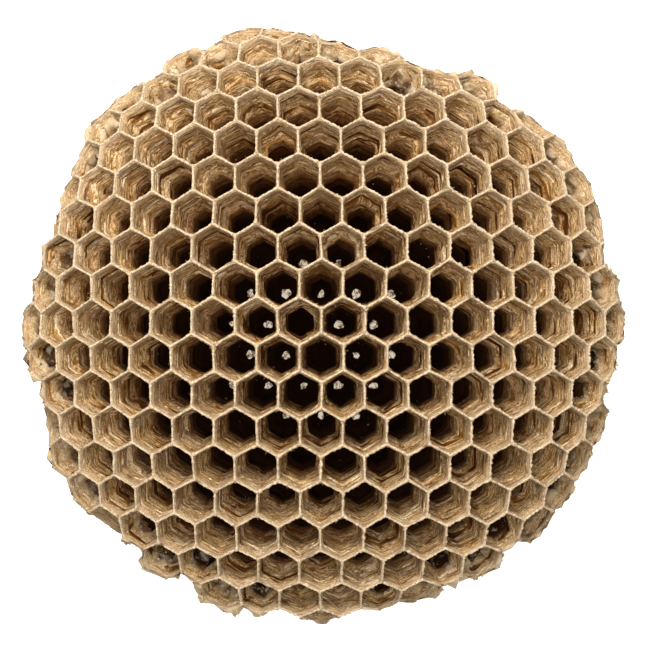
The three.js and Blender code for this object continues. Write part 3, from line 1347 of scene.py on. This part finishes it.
    def doubled(self, ring: Point) -> Point:
        """Puts a point half way between every two points of a ring."""
        between = (ring + np.roll(ring, -1, axis=0)) / 2
        return np.stack([ring, between], axis=1).reshape(-1, 3)

    def hole_ring(self, cell: Cell, tube: Tube, below: float) -> list[int]:
        """Adds one end of the hole in a floor: a ragged ring of points.

        Args:
            cell: the cell.
            tube: its inside.
            below: how far under the edge of the floor the ring is.

        Returns:
            The points' numbers.
        """
        middle = tube.floor.mean(axis=0)
        ragged = random.Random(cell.number)
        shifts = [ragged.uniform(0.0, math.tau) for _ in self.hole_turns]
        across = tube.floor - middle
        angles = np.arctan2(across[:, 1], across[:, 0])
        swing = waves(angles, [(1.0, turns) for turns in self.hole_turns], shifts)
        narrow = 1 - self.hole_squeeze * ragged.random() * np.cos(angles - shifts[0]) ** 2
        size = self.hole_radius * ragged.uniform(*self.hole_sizes)
        radius = size * narrow * (1 + self.hole_wave * swing)
        paper = Paper(seed=tube.seed, age=self.hole_age * tube.age, down=1.0)
        return self.skin.add_ring(middle + circle(angles, radius, -below), tube.length, paper)

    def build_back(self, cell: Cell, tube: Tube, hole: list[int]) -> None:
        """Builds the gently bulging back of one cell.

        Args:
            cell: the cell.
            tube: its inside.
            hole: the lower ring of the hole in its floor, or nothing.
        """
        paper = self.back_paper
        for key, point in zip(self.ring_keys(cell), tube.floor):
            if key not in self.unders:
                self.unders[key] = self.skin.add(point - up(self.floor), paper, point[:2])
        ring = [self.unders[key] for key in self.ring_keys(cell)]
        points = self.skin.at(ring)
        middle = points.mean(axis=0)
        share, bulge = self.back_ring
        inner = middle + (points - middle) * share - up(self.floor_bowl * bulge)
        numbers = self.skin.add_outside(inner, paper)
        self.skin.band(numbers, ring, Surface.OUTSIDE)
        if hole:
            self.skin.band(hole, numbers, Surface.OUTSIDE)
            return
        low = middle - up(self.floor_bowl)
        self.skin.fan(numbers[::-1], self.skin.add(low, paper, low[:2]), Surface.OUTSIDE)

    def holes(self, level: float) -> Iterator[tuple[Cell, Point]]:
        """Finds the holes in the floors.

        Args:
            level: how far down in a hole, as a share of the floor's thickness.

        Returns:
            Each cell that has a hole, and the middle of the hole at that level.
        """
        below = up(self.floor_bowl + level * self.floor)
        pierced = (cell for cell in self.honeycomb.cells if cell.is_pierced)
        return ((cell, self.tube(cell).floor.mean(axis=0) - below) for cell in pierced)

    def outward(self, key: Key, share: float) -> Point:
        """The way out of the comb at a rim corner, long enough to keep the wall's thickness.

        Args:
            key: the corner's key.
            share: how far down from the mouth.

        Returns:
            A vector whose length stands for one half thickness of the wall.
        """
        corners = self.honeycomb.corners
        corner = corners[key]
        around = [corners[other].at(share) for cell in corner.cells for other in cell.keys]
        out = corner.at(share) - np.mean(around, axis=0)
        out[2] *= self.outer_tilt
        return out / np.linalg.norm(out) / ROW_RISE

    def outer_column(self, cell: Cell, tube: Tube, side: int, mark: int) -> list[int]:
        """Finds or adds the points down the outer wall at one mark of an exposed side.

        Args:
            cell: the cell at the rim.
            tube: its inside.
            side: its exposed side.
            mark: which mark along it; the last one is the next corner.

        Returns:
            The points' numbers from the lip to the back.
        """
        keys = self.ring_keys(cell)
        at = (side * len(self.marks) + mark) % len(keys)
        along = 1.0 if mark == len(self.marks) else self.marks[mark]
        column = []
        for row in range(self.outer_rings + 1):
            name = (*keys[at], "row", row)
            if name not in self.outers:
                share = row / self.outer_rings
                place = tube.outline(share * tube.length)[at]
                self.outers[name] = self.outer_point(cell, side, along, share, place)
            column.append(self.outers[name])
        self.unders[keys[at]] = column[-1]
        return column

    def outer_point(self, cell: Cell, side: int, along: float, share: float, place: Point) -> int:
        """Adds one point on an outer wall.

        Args:
            cell: the cell at the rim.
            side: its exposed side.
            along: the share of the way along the side.
            share: how far down from the lip.
            place: the place on the middle of the wall.

        Returns:
            The point's number.
        """
        here, there = cell.keys[side], cell.keys[(side + 1) % SIDES]
        out = self.outward(here, share) * (1 - along) + self.outward(there, share) * along
        bulge = self.outer_bulge * math.sin(math.pi * min(share * self.bulge_speed, 1.0))
        bulge *= self.bulge_least + (1 - self.bulge_least) * math.sin(math.pi * along)
        point = place + out * (self.outer_half_wall + bulge) - up(self.floor * share**self.foot_curve)
        lumps = min(self.outer_lumps + self.outer_growth * share, 1.0)
        scraps = max(0.0, 1 - share / self.scraps_down)
        depth = self.outer_depth[0] + self.outer_depth[1] * share
        paper = Paper(depth, self.outer_seed, lumps=lumps, fuzz=1.0, scraps=scraps)
        return self.skin.add(point, paper, point[:2])

    def build_outside(self) -> None:
        """Builds the outer walls along every side that has no neighbour."""
        sides = {}
        for cell in self.honeycomb.cells:
            for side, ends in enumerate(around(cell.keys)):
                sides[ends] = (cell, side)
        for (start, end), (cell, side) in sides.items():
            if (end, start) not in sides:
                self.build_outer_side(cell, side)

    def build_outer_side(self, cell: Cell, side: int) -> None:
        """Builds the outer wall along one side.

        Args:
            cell: the cell at the rim.
            side: its exposed side.
        """
        tube = self.tube(cell)
        marks = range(len(self.marks) + 1)
        columns = [self.outer_column(cell, tube, side, mark) for mark in marks]
        crest = self.crest_ring(cell, tube)
        for mark, (here, there) in enumerate(zip(columns, columns[1:])):
            at = side * len(self.marks) + mark
            left, right = [crest[at], *here], [crest[(at + 1) % len(crest)], *there]
            for row in range(self.outer_rings + 1):
                face = (left[row + 1], right[row + 1], right[row], left[row])
                self.skin.face(face, Surface.OUTSIDE)

    def root_keys(self) -> list[tuple]:
        """The keys of the points round the backs of the root cells, in order."""
        follows: dict[Key, Key] = {}
        for cell in self.honeycomb.cells:
            if not cell.is_root:
                continue
            for key, after in around(cell.keys):
                if follows.get(after) == key:
                    del follows[after]
                else:
                    follows[key] = after
        start = next(iter(follows))
        keys, here = [], start
        while not keys or here != start:
            keys += self.side_keys(here, follows[here])
            here = follows[here]
        return keys

    def build_stalk(self) -> None:
        """Builds the stalk from its root on the comb's back to the flat cut."""
        ring = [self.unders[key] for key in self.root_keys()]
        root = self.skin.at(ring)
        middle = root.mean(axis=0)
        neck = self.stalk_outline(root - middle, self.neck) + middle * self.stalk_lean
        foot = self.stalk_outline(root - middle, self.foot)
        for step in range(1, self.stalk_rings + 1):
            share = step / self.stalk_rings
            lower = root * (1 - share) ** 2 + neck * 2 * share * (1 - share) + foot * share**2
            lower[:, 2] = root[:, 2] * (1 - share)
            lumps = 0.0 if step == self.stalk_rings else self.stalk_lumps
            numbers = self.skin.add_outside(lower, replace(self.stalk_paper, lumps=lumps))
            self.skin.band(numbers, ring, Surface.STALK)
            ring = numbers
        centre = self.skin.add(np.zeros(3), self.stalk_paper)
        self.skin.fan(ring[::-1], centre, Surface.STALK)

    def stalk_outline(self, across: Point, size: tuple[float, float]) -> Point:
        """A section of the stalk with shallow flutes, which keeps the shape of its root.

        Args:
            across: the points of the root, from their middle.
            size: the share of the root's size along X and Y.

        Returns:
            The points of the section, round the origin.
        """
        angles = np.arctan2(across[:, 1], across[:, 0])
        fluted = waves(angles, self.flutes, self.flute_shifts, 1.0)
        return across * fluted[:, None] * np.array([*size, 0.0])

    def build(self) -> Object:
        """Builds the whole comb.

        Returns:
            The comb's object, with its relief.
        """
        self.build_outside()
        for cell in self.honeycomb.cells:
            self.build_inside(cell)
        self.build_stalk()
        made = self.skin.build("comb_paper")
        apply_nodes(made, relief_tree(), RELIEF)
        inside = NestPaper()
        outside = replace(
            inside, name="nest_paper_outer", lip="C6B8A0", lip_mm=8.0, lip_share=0.6, patch_from=0.48
        )
        stalk = PlainFinish("stalk_hardened_pulp", "1E140C", "4A3420", 0.9, 0.5, 0.2, (1, 1, 0.3))
        made.data.materials.clear()
        for finish in (inside, outside, stalk):
            made.data.materials.append(finish.material())
        return made


@dataclass
class PulpStrips:
    """The strips of pulp round the inside of the cells, each a low wavy ledge."""

    honeycomb: Honeycomb
    marks: tuple[float, ...] = (0.0, 0.18, 0.39, 0.61, 0.82)
    half_wall: float = 0.17
    first: float = 0.75  # depth of the first strip
    first_spread: tuple[float, float] = (0.8, 1.2)
    last: float = 15.0
    spacing: tuple[float, float] = (0.95, 0.10)  # millimetres, and share of the depth
    spacing_spread: tuple[float, float] = (0.75, 1.3)
    floor_gap: float = 1.0
    proud: tuple[float, float] = (0.05, 0.42)
    proud_spread: tuple[float, float] = (0.3, 1.2)
    proud_at_lip: float = 0.4  # strips stand out less near the lip, where the paper is new
    proud_depth: float = 5.0  # depth over which they gain as much again as the whole
    proud_most: float = 1.2
    swell_middle: float = 0.5
    swells: tuple[tuple[float, int], ...] = ((0.3, 1), (0.2, 4))  # height, and turns round
    sunk: float = 0.06
    ledge: float = 0.14
    wave: float = 0.18
    sways: tuple[tuple[float, int], ...] = ((1.0, 1), (0.6, 3))
    ragged: float = 0.09
    tones: float = 0.24
    wildness: float = 1.3  # how much wavier and higher the strips of a young cell are
    young_width: float = 0.6  # how much wider they are
    young_bare: float = 0.6  # share of a young cell's wall that has no strips yet
    corner_round: float = 0.08
    seed: int = 23

    def strip(
        self, skin: Skin, tube: Tube, depth: float, width: float, chance: random.Random
    ) -> None:
        """Lays one strip round a cell.

        Args:
            skin: the mesh that gets it.
            tube: the cell's inside.
            depth: how far below the lip its upper edge is.
            width: how wide the strip is.
            chance: the source of its unevenness.
        """
        turn = np.linspace(0, math.tau, len(tube.mouth), endpoint=False)
        shifts = [chance.uniform(0.0, math.tau) for _ in range(4)]
        sway = waves(turn, self.sways, shifts[:2])
        wild = 1 + self.wildness * tube.youth
        torn = np.array([chance.uniform(-self.ragged, self.ragged) for _ in turn])
        down = depth + wild * (self.wave * sway * min(width, 1.0) + torn)
        swell = waves(turn, self.swells, shifts[2:], self.swell_middle)
        height = wild * chance.uniform(*self.proud_spread)
        height *= min(self.proud_at_lip + depth / self.proud_depth, self.proud_most)
        proud = self.proud[0] + (self.proud[1] - self.proud[0]) * swell * height
        tone = chance.uniform(-self.tones, self.tones)
        share = depth / tube.length
        paper = Paper(seed=tube.seed + depth, tone=tone, age=tube.age, down=share)
        rows = (
            (down, self.half_wall - self.sunk),
            (down + self.ledge, self.half_wall + proud),
            (down + width, self.half_wall - self.sunk),
        )
        rings = [
            skin.add_ring(tube.ring(at, inward, self.corner_round), at, paper)
            for at, inward in rows
        ]
        for above, below in zip(rings, rings[1:]):
            skin.band(above, below, Surface.CELL)

    def build(self) -> Object:
        """Lays the strips of all the cells.

        Returns:
            Their object.
        """
        skin = Skin()
        chance = random.Random(self.seed)
        for cell in self.honeycomb.cells:
            tube = Tube.of(self.honeycomb, cell, self.marks)
            depth = self.first * chance.uniform(*self.first_spread)
            covered = (tube.length - self.floor_gap) * (1 - self.young_bare * tube.youth)
            while depth < min(self.last, covered):
                step = self.spacing[0] + self.spacing[1] * depth
                step *= 1 + self.young_width * tube.youth
                step *= chance.uniform(*self.spacing_spread)
                self.strip(skin, tube, depth, step, chance)
                depth += step
        made = skin.build("pulp_strips")
        made.data.materials.append(NestPaper(name="nest_paper_strips").material())
        return made


@dataclass
class Lips:
    """The last strips of pulp on the lips: uneven pale strands, thicker where they meet.

    The outer sides of the rim cells have none: their paper ends in a crumpled edge.
    """

    comb: Comb
    finish: PlainFinish = PlainFinish("fresh_pulp_lip", "967A55", "D6C2A4", 0.30, 0.9, 0.12)
    strand: Strand = Strand(0.33, 0.25, 1.1, 0.48, 0.4, 0.40, 5)

    def build(self) -> Object:
        """Builds the strands along every lip.

        Returns:
            Their object.
        """
        comb, edges = self.comb, set()
        for cell in comb.honeycomb.cells:
            ring = around(comb.crest_ring(cell, comb.tube(cell)))
            for ends, keys in zip(ring, around(comb.ring_keys(cell))):
                if not any(len(key) > 1 and comb.is_outer(key) for key in keys):
                    edges.add((min(ends), max(ends)))
        used = sorted({number for edge in edges for number in edge})
        numbers = {number: at for at, number in enumerate(used)}
        pairs = [(numbers[start], numbers[end]) for start, end in sorted(edges)]
        return self.strand.sweep("lip_strands", comb.skin.at(used), pairs, self.finish)


# ---------------------------------------------------------------- what lies loose


class Grain(Enum):
    """What lies loose on the paper."""

    FIBRE = "fibre"
    CRUMB = "crumb"
    SCRAP = "scrap"


CRUMB_SIZE = (1.0, 0.7, 0.45)
SCRAP_SIZE = (1.0, 0.75, 0.14)
FIBRE_BOW = {"Start": (0.0, 0.0, -0.1), "Middle": (0.1, 0.0, 0.5), "End": (0.55, 0.1, 0.75)}
FIBRE_STEPS = 4
FIBRE_SECTION = {"Resolution": 3, "Radius": 0.045}
SIZE_SEED = 3
TURN_SEED = 5


def grain_shape(graph: Graph, grain: Grain) -> Socket:
    """Makes one grain, about a unit long.

    Args:
        graph: the geometry tree that gets it.
        grain: which kind.

    Returns:
        The socket with its mesh.
    """
    if grain is Grain.CRUMB:
        return squeezed_ball(graph, 1, CRUMB_SIZE)
    if grain is Grain.SCRAP:
        noise = graph.noise(graph.position(), SCRAP_FOLDS, *SCRAP_NOISE)
        crumple = graph.vector("SUBTRACT", noise.node.outputs[1], COLOUR_MIDDLE)
        flat = squeezed_ball(graph, 2, SCRAP_SIZE)
        return graph.add("GeometryNodeSetPosition", {"Geometry": flat, "Offset": crumple})
    links = {"Resolution": FIBRE_STEPS, **FIBRE_BOW}
    line = graph.add("GeometryNodeCurveQuadraticBezier", links)
    section = graph.add("GeometryNodeCurvePrimitiveCircle", FIBRE_SECTION)
    links = {"Curve": line, "Profile Curve": section, "Fill Caps": True}
    return graph.add("GeometryNodeCurveToMesh", links)


def squeezed_ball(graph: Graph, fineness: int, size: tuple[float, float, float]) -> Socket:
    """Makes a faceted ball of a size along X, Y and Z."""
    ball = graph.add("GeometryNodeMeshIcoSphere", {"Radius": 0.5, "Subdivisions": fineness})
    return graph.add("GeometryNodeTransform", {"Geometry": ball, "Scale": size})


def scatter_tree(grain: Grain, values: dict[str, Any]) -> Tree:
    """Builds the tree that strews grains over the fuzzy parts of the paper.

    Args:
        grain: which kind of grain.
        values: a value for each of its inputs.

    Returns:
        A tree that gives the grains alone, as real mesh.
    """
    graph, given = new_graph(f"strewn_{grain.value}", values)
    where = graph.named("scraps" if grain is Grain.SCRAP else "fuzz")
    density = graph.math("MULTIPLY", where, given["Grains per square metre"])
    links = {"Mesh": given["Geometry"], "Density": density, "Seed": given["Seed"]}
    points = graph.add("GeometryNodeDistributePointsOnFaces", links, "Points")
    draw = "FunctionNodeRandomValue"
    sizes = {2: given["Smallest"], 3: given["Largest"], "Seed": SIZE_SEED}
    links = {
        "Points": points,
        "Instance": grain_shape(graph, grain),
        "Rotation": points.node.outputs["Rotation"],
        "Scale": graph.add(draw, sizes, 1, data_type="FLOAT"),
    }
    grains = graph.add("GeometryNodeInstanceOnPoints", links)
    turns = {0: (-1.0, -1.0, -math.pi), 1: (1.0, 1.0, math.pi), "Seed": TURN_SEED}
    turn = graph.add(draw, turns, data_type="FLOAT_VECTOR")
    lean = graph.add("ShaderNodeCombineXYZ", {0: given["Lean"], 1: given["Lean"], 2: 1.0})
    turn = graph.vector("MULTIPLY", turn, lean)
    turned = graph.add("GeometryNodeRotateInstances", {"Instances": grains, "Rotation": turn})
    dress(graph, graph.add("GeometryNodeRealizeInstances", {0: turned}), given)
    return graph.tree


@dataclass
class Strewn:
    """Loose fibres, crumbs or scraps of pulp on the lips and on the outside of the comb."""

    grain: Grain
    finish: PlainFinish
    per_square_metre: float
    smallest: float
    largest: float
    lean: float
    seed: int

    def build(self, ground: Object) -> Object:
        """Strews the grains over the comb.

        Args:
            ground: the comb.

        Returns:
            The grains' object.
        """
        values = {
            "Grains per square metre": self.per_square_metre,
            "Smallest": self.smallest * MM,
            "Largest": self.largest * MM,
            "Lean": self.lean,
            "Seed": self.seed,
            "Material": self.finish.material(),
        }
        made = stand(f"loose_{self.grain.value}s", ground.data.copy())
        return apply_nodes(made, scatter_tree(self.grain, values), values)


@dataclass
class HoleThreads:
    """Torn threads of paper that still cross the holes in the floors."""

    comb: Comb
    finish: PlainFinish = PlainFinish("torn_threads", "6A4E30", "B59C78", 0.6, 0.9, 0.05)
    strand: Strand = Strand(0.25, 0.06, 0.8, 0.25, 0.6, 0.5, 4)
    threads: tuple[int, int] = (1, 4)
    spread: tuple[float, float] = (1.9, 4.2)  # angle between a thread's two ends
    reach: float = 1.15  # how far out they are, as a share of the hole's radius
    level: float = 0.5  # how far down in the floor's thickness
    points: int = 5
    sag: float = 0.3
    seed: int = 41

    def build(self) -> Object:
        """Strings the threads across every hole.

        Returns:
            Their object.
        """
        chance = random.Random(self.seed)
        reach = self.reach * self.comb.hole_radius
        points, edges = [], []
        for _, middle in self.comb.holes(self.level):
            for _ in range(chance.randint(*self.threads)):
                start, turn = chance.uniform(0, math.tau), chance.uniform(*self.spread)
                ends = middle + circle(np.array([start, start + turn]), reach, 0.0)
                for at in range(self.points):
                    share = at / (self.points - 1)
                    rise = self.sag * chance.uniform(-1, 1) * math.sin(math.pi * share)
                    if at:
                        edges.append((len(points) - 1, len(points)))
                    points.append(ends[0] + (ends[1] - ends[0]) * share + up(rise))
        return self.strand.sweep("hole_threads", points, edges, self.finish)


@dataclass
class HoleFilms:
    """The thin worn paper that is left in the holes of the floors."""

    comb: Comb
    finish: WornFilm = WornFilm()
    reach: float = 1.35  # its size, as a share of the hole's
    rings: tuple[tuple[float, float], ...] = ((0.96, 0.05), (0.6, 0.08))  # share, half thickness
    half_middle: float = 0.06
    level: float = 0.7  # how far down in the floor's thickness
    points: int = 12
    lumps: float = 0.16

    def build(self) -> Object:
        """Builds a film in every hole.

        Returns:
            Their object.
        """
        skin = Skin()
        for cell, middle in self.comb.holes(self.level):
            self.add_film(skin, middle, random.Random(cell.number + 1))
        made = skin.build("hole_films")
        made.data.materials.append(self.finish.material())
        return made

    def add_film(self, skin: Skin, middle: Point, chance: random.Random) -> None:
        """Adds one film: a lumpy lens that is closed all round.

        Args:
            skin: the mesh that gets it.
            middle: its middle.
            chance: the source of its lumps.
        """
        turn = np.linspace(0, math.tau, self.points, endpoint=False)
        size = self.reach * self.comb.hole_radius
        bumps = [[chance.uniform(-self.lumps, self.lumps) for _ in turn] for _ in self.rings]
        sheets = []
        for side in (1, -1):
            sheet = []
            for (share, thick), bump in zip(self.rings, bumps):
                ring = middle + circle(turn, size * share, np.array(bump) + side * thick)
                sheet.append(skin.add_ring(ring, 0.0, Paper()))
            sheets.append((sheet, skin.add(middle + up(side * self.half_middle), Paper())))
        (upper, top), (lower, bottom) = sheets
        skin.band(upper[0], upper[1], Surface.CELL)
        skin.fan(upper[1], top, Surface.CELL)
        skin.band(lower[1], lower[0], Surface.CELL)
        skin.fan(lower[1][::-1], bottom, Surface.CELL)
        skin.band(lower[0], upper[0], Surface.CELL)


# ---------------------------------------------------------------- the stage


@dataclass(frozen=True)
class Softbox:
    """A square soft light that faces the comb; its place and side are in metres."""

    name: str
    place: tuple[float, float, float]
    side: float
    watts: float
    tint: tuple[float, float, float] = (1.0, 0.985, 0.96)
    aim: tuple[float, float, float] = (0.0, 0.0, 0.02)

    def build(self) -> None:
        """Hangs the light."""
        lamp = bpy.data.lights.new(self.name, "AREA")
        lamp.size = self.side
        lamp.energy = self.watts
        lamp.color = self.tint
        holder = stand(self.name, lamp)
        holder.location = self.place
        way = Vector(self.aim) - Vector(self.place)
        holder.rotation_euler = way.to_track_quat("-Z", "Y").to_euler()


@dataclass
class Stage:
    """A glowing pale table, soft lights and the camera straight above the cell mouths."""

    lights: tuple[Softbox, ...] = (
        Softbox("overhead_softbox", (0.0, -0.05, 0.9), 0.5, 5.4),
        Softbox("key_softbox", (-0.05, 0.31, 0.43), 0.22, 3.6),
    )
    white: tuple[float, float, float, float] = (1.0, 1.0, 1.0, 1.0)
    sky_strength: float = 0.36
    camera_at: tuple[float, float, float] = (1.46, 1.59, 458.0)
    lens_mm: float = 120.7
    nearest: float = 0.01  # metres from which on the camera sees things
    table_size: float = 4.0
    table_colour: str = "F2F2F0"
    table_roughness: float = 0.9
    table_glow: float = 0.55

    def build_table(self) -> None:
        """Builds the pale table that the stalk's cut stands on."""
        half = self.table_size / 2
        corners = [(-half, -half, 0), (half, -half, 0), (half, half, 0), (-half, half, 0)]
        mesh = bpy.data.meshes.new("table")
        mesh.from_pydata(corners, [], [(0, 1, 2, 3)])
        table = stand("table", mesh)
        material, graph = new_material("pale_light_table")
        looks = {
            "Base Color": linear(self.table_colour),
            "Roughness": self.table_roughness,
            "Emission Color": self.white,
            "Emission Strength": self.table_glow,
        }
        shader = graph.add("ShaderNodeBsdfPrincipled", looks)
        graph.end("ShaderNodeOutputMaterial", shader)
        mesh.materials.append(material)

    def build(self) -> None:
        """Builds the table, the lights, the sky and the camera."""
        self.build_table()
        for light in self.lights:
            light.build()
        world = bpy.data.worlds.new("soft_room")
        world.use_nodes = True
        background = world.node_tree.nodes["Background"]
        background.inputs["Color"].default_value = self.white
        background.inputs["Strength"].default_value = self.sky_strength
        bpy.context.scene.world = world
        bpy.context.scene.view_settings.view_transform = "Standard"
        lens = bpy.data.cameras.new("camera")
        lens.lens = self.lens_mm
        lens.clip_start = self.nearest
        camera = stand("camera", lens)
        camera.location = [side * MM for side in self.camera_at]
        bpy.context.scene.camera = camera


def join_frame(piece: Object, *replaced: str) -> None:
    """Ties a finished piece to the CAD model and reports it.

    Args:
        piece: the finished piece.
        replaced: the CAD nodes that it stands for.
    """
    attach(piece, BODY)
    if replaced:
        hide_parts(*replaced)
    triangles = sum(len(face.vertices) - 2 for face in piece.data.polygons)
    LOG.info("%s: %d triangles", piece.name, triangles)


def main() -> None:
    """Builds the nest piece by piece and the stage around it."""
    logging.basicConfig(level=logging.INFO, format="%(name)s: %(message)s")
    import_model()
    Stage().build()
    honeycomb = Honeycomb()
    honeycomb.lay_out()
    comb = Comb(honeycomb)
    paper = comb.build()
    join_frame(paper, "comb")
    join_frame(PulpStrips(honeycomb).build())
    join_frame(Lips(comb).build())
    join_frame(HoleThreads(comb).build())
    join_frame(HoleFilms(comb).build())
    loose = PlainFinish("loose_pulp", "7D6240", "D2BE9A", 0.5, 0.9, 0.05)
    torn = PlainFinish("torn_scraps", "7D6038", "CDBB90", 0.6, 0.9, 0.05)
    for strewn in (
        Strewn(Grain.CRUMB, loose, 5.4e5, 0.2, 0.65, 0.6, 3),
        Strewn(Grain.FIBRE, loose, 2.6e5, 0.3, 0.8, 1.3, 4),
        Strewn(Grain.SCRAP, torn, 1.2e5, 0.8, 1.8, 0.4, 5),
    ):
        join_frame(strewn.build(paper))


if __name__ == "__main__":
    main()
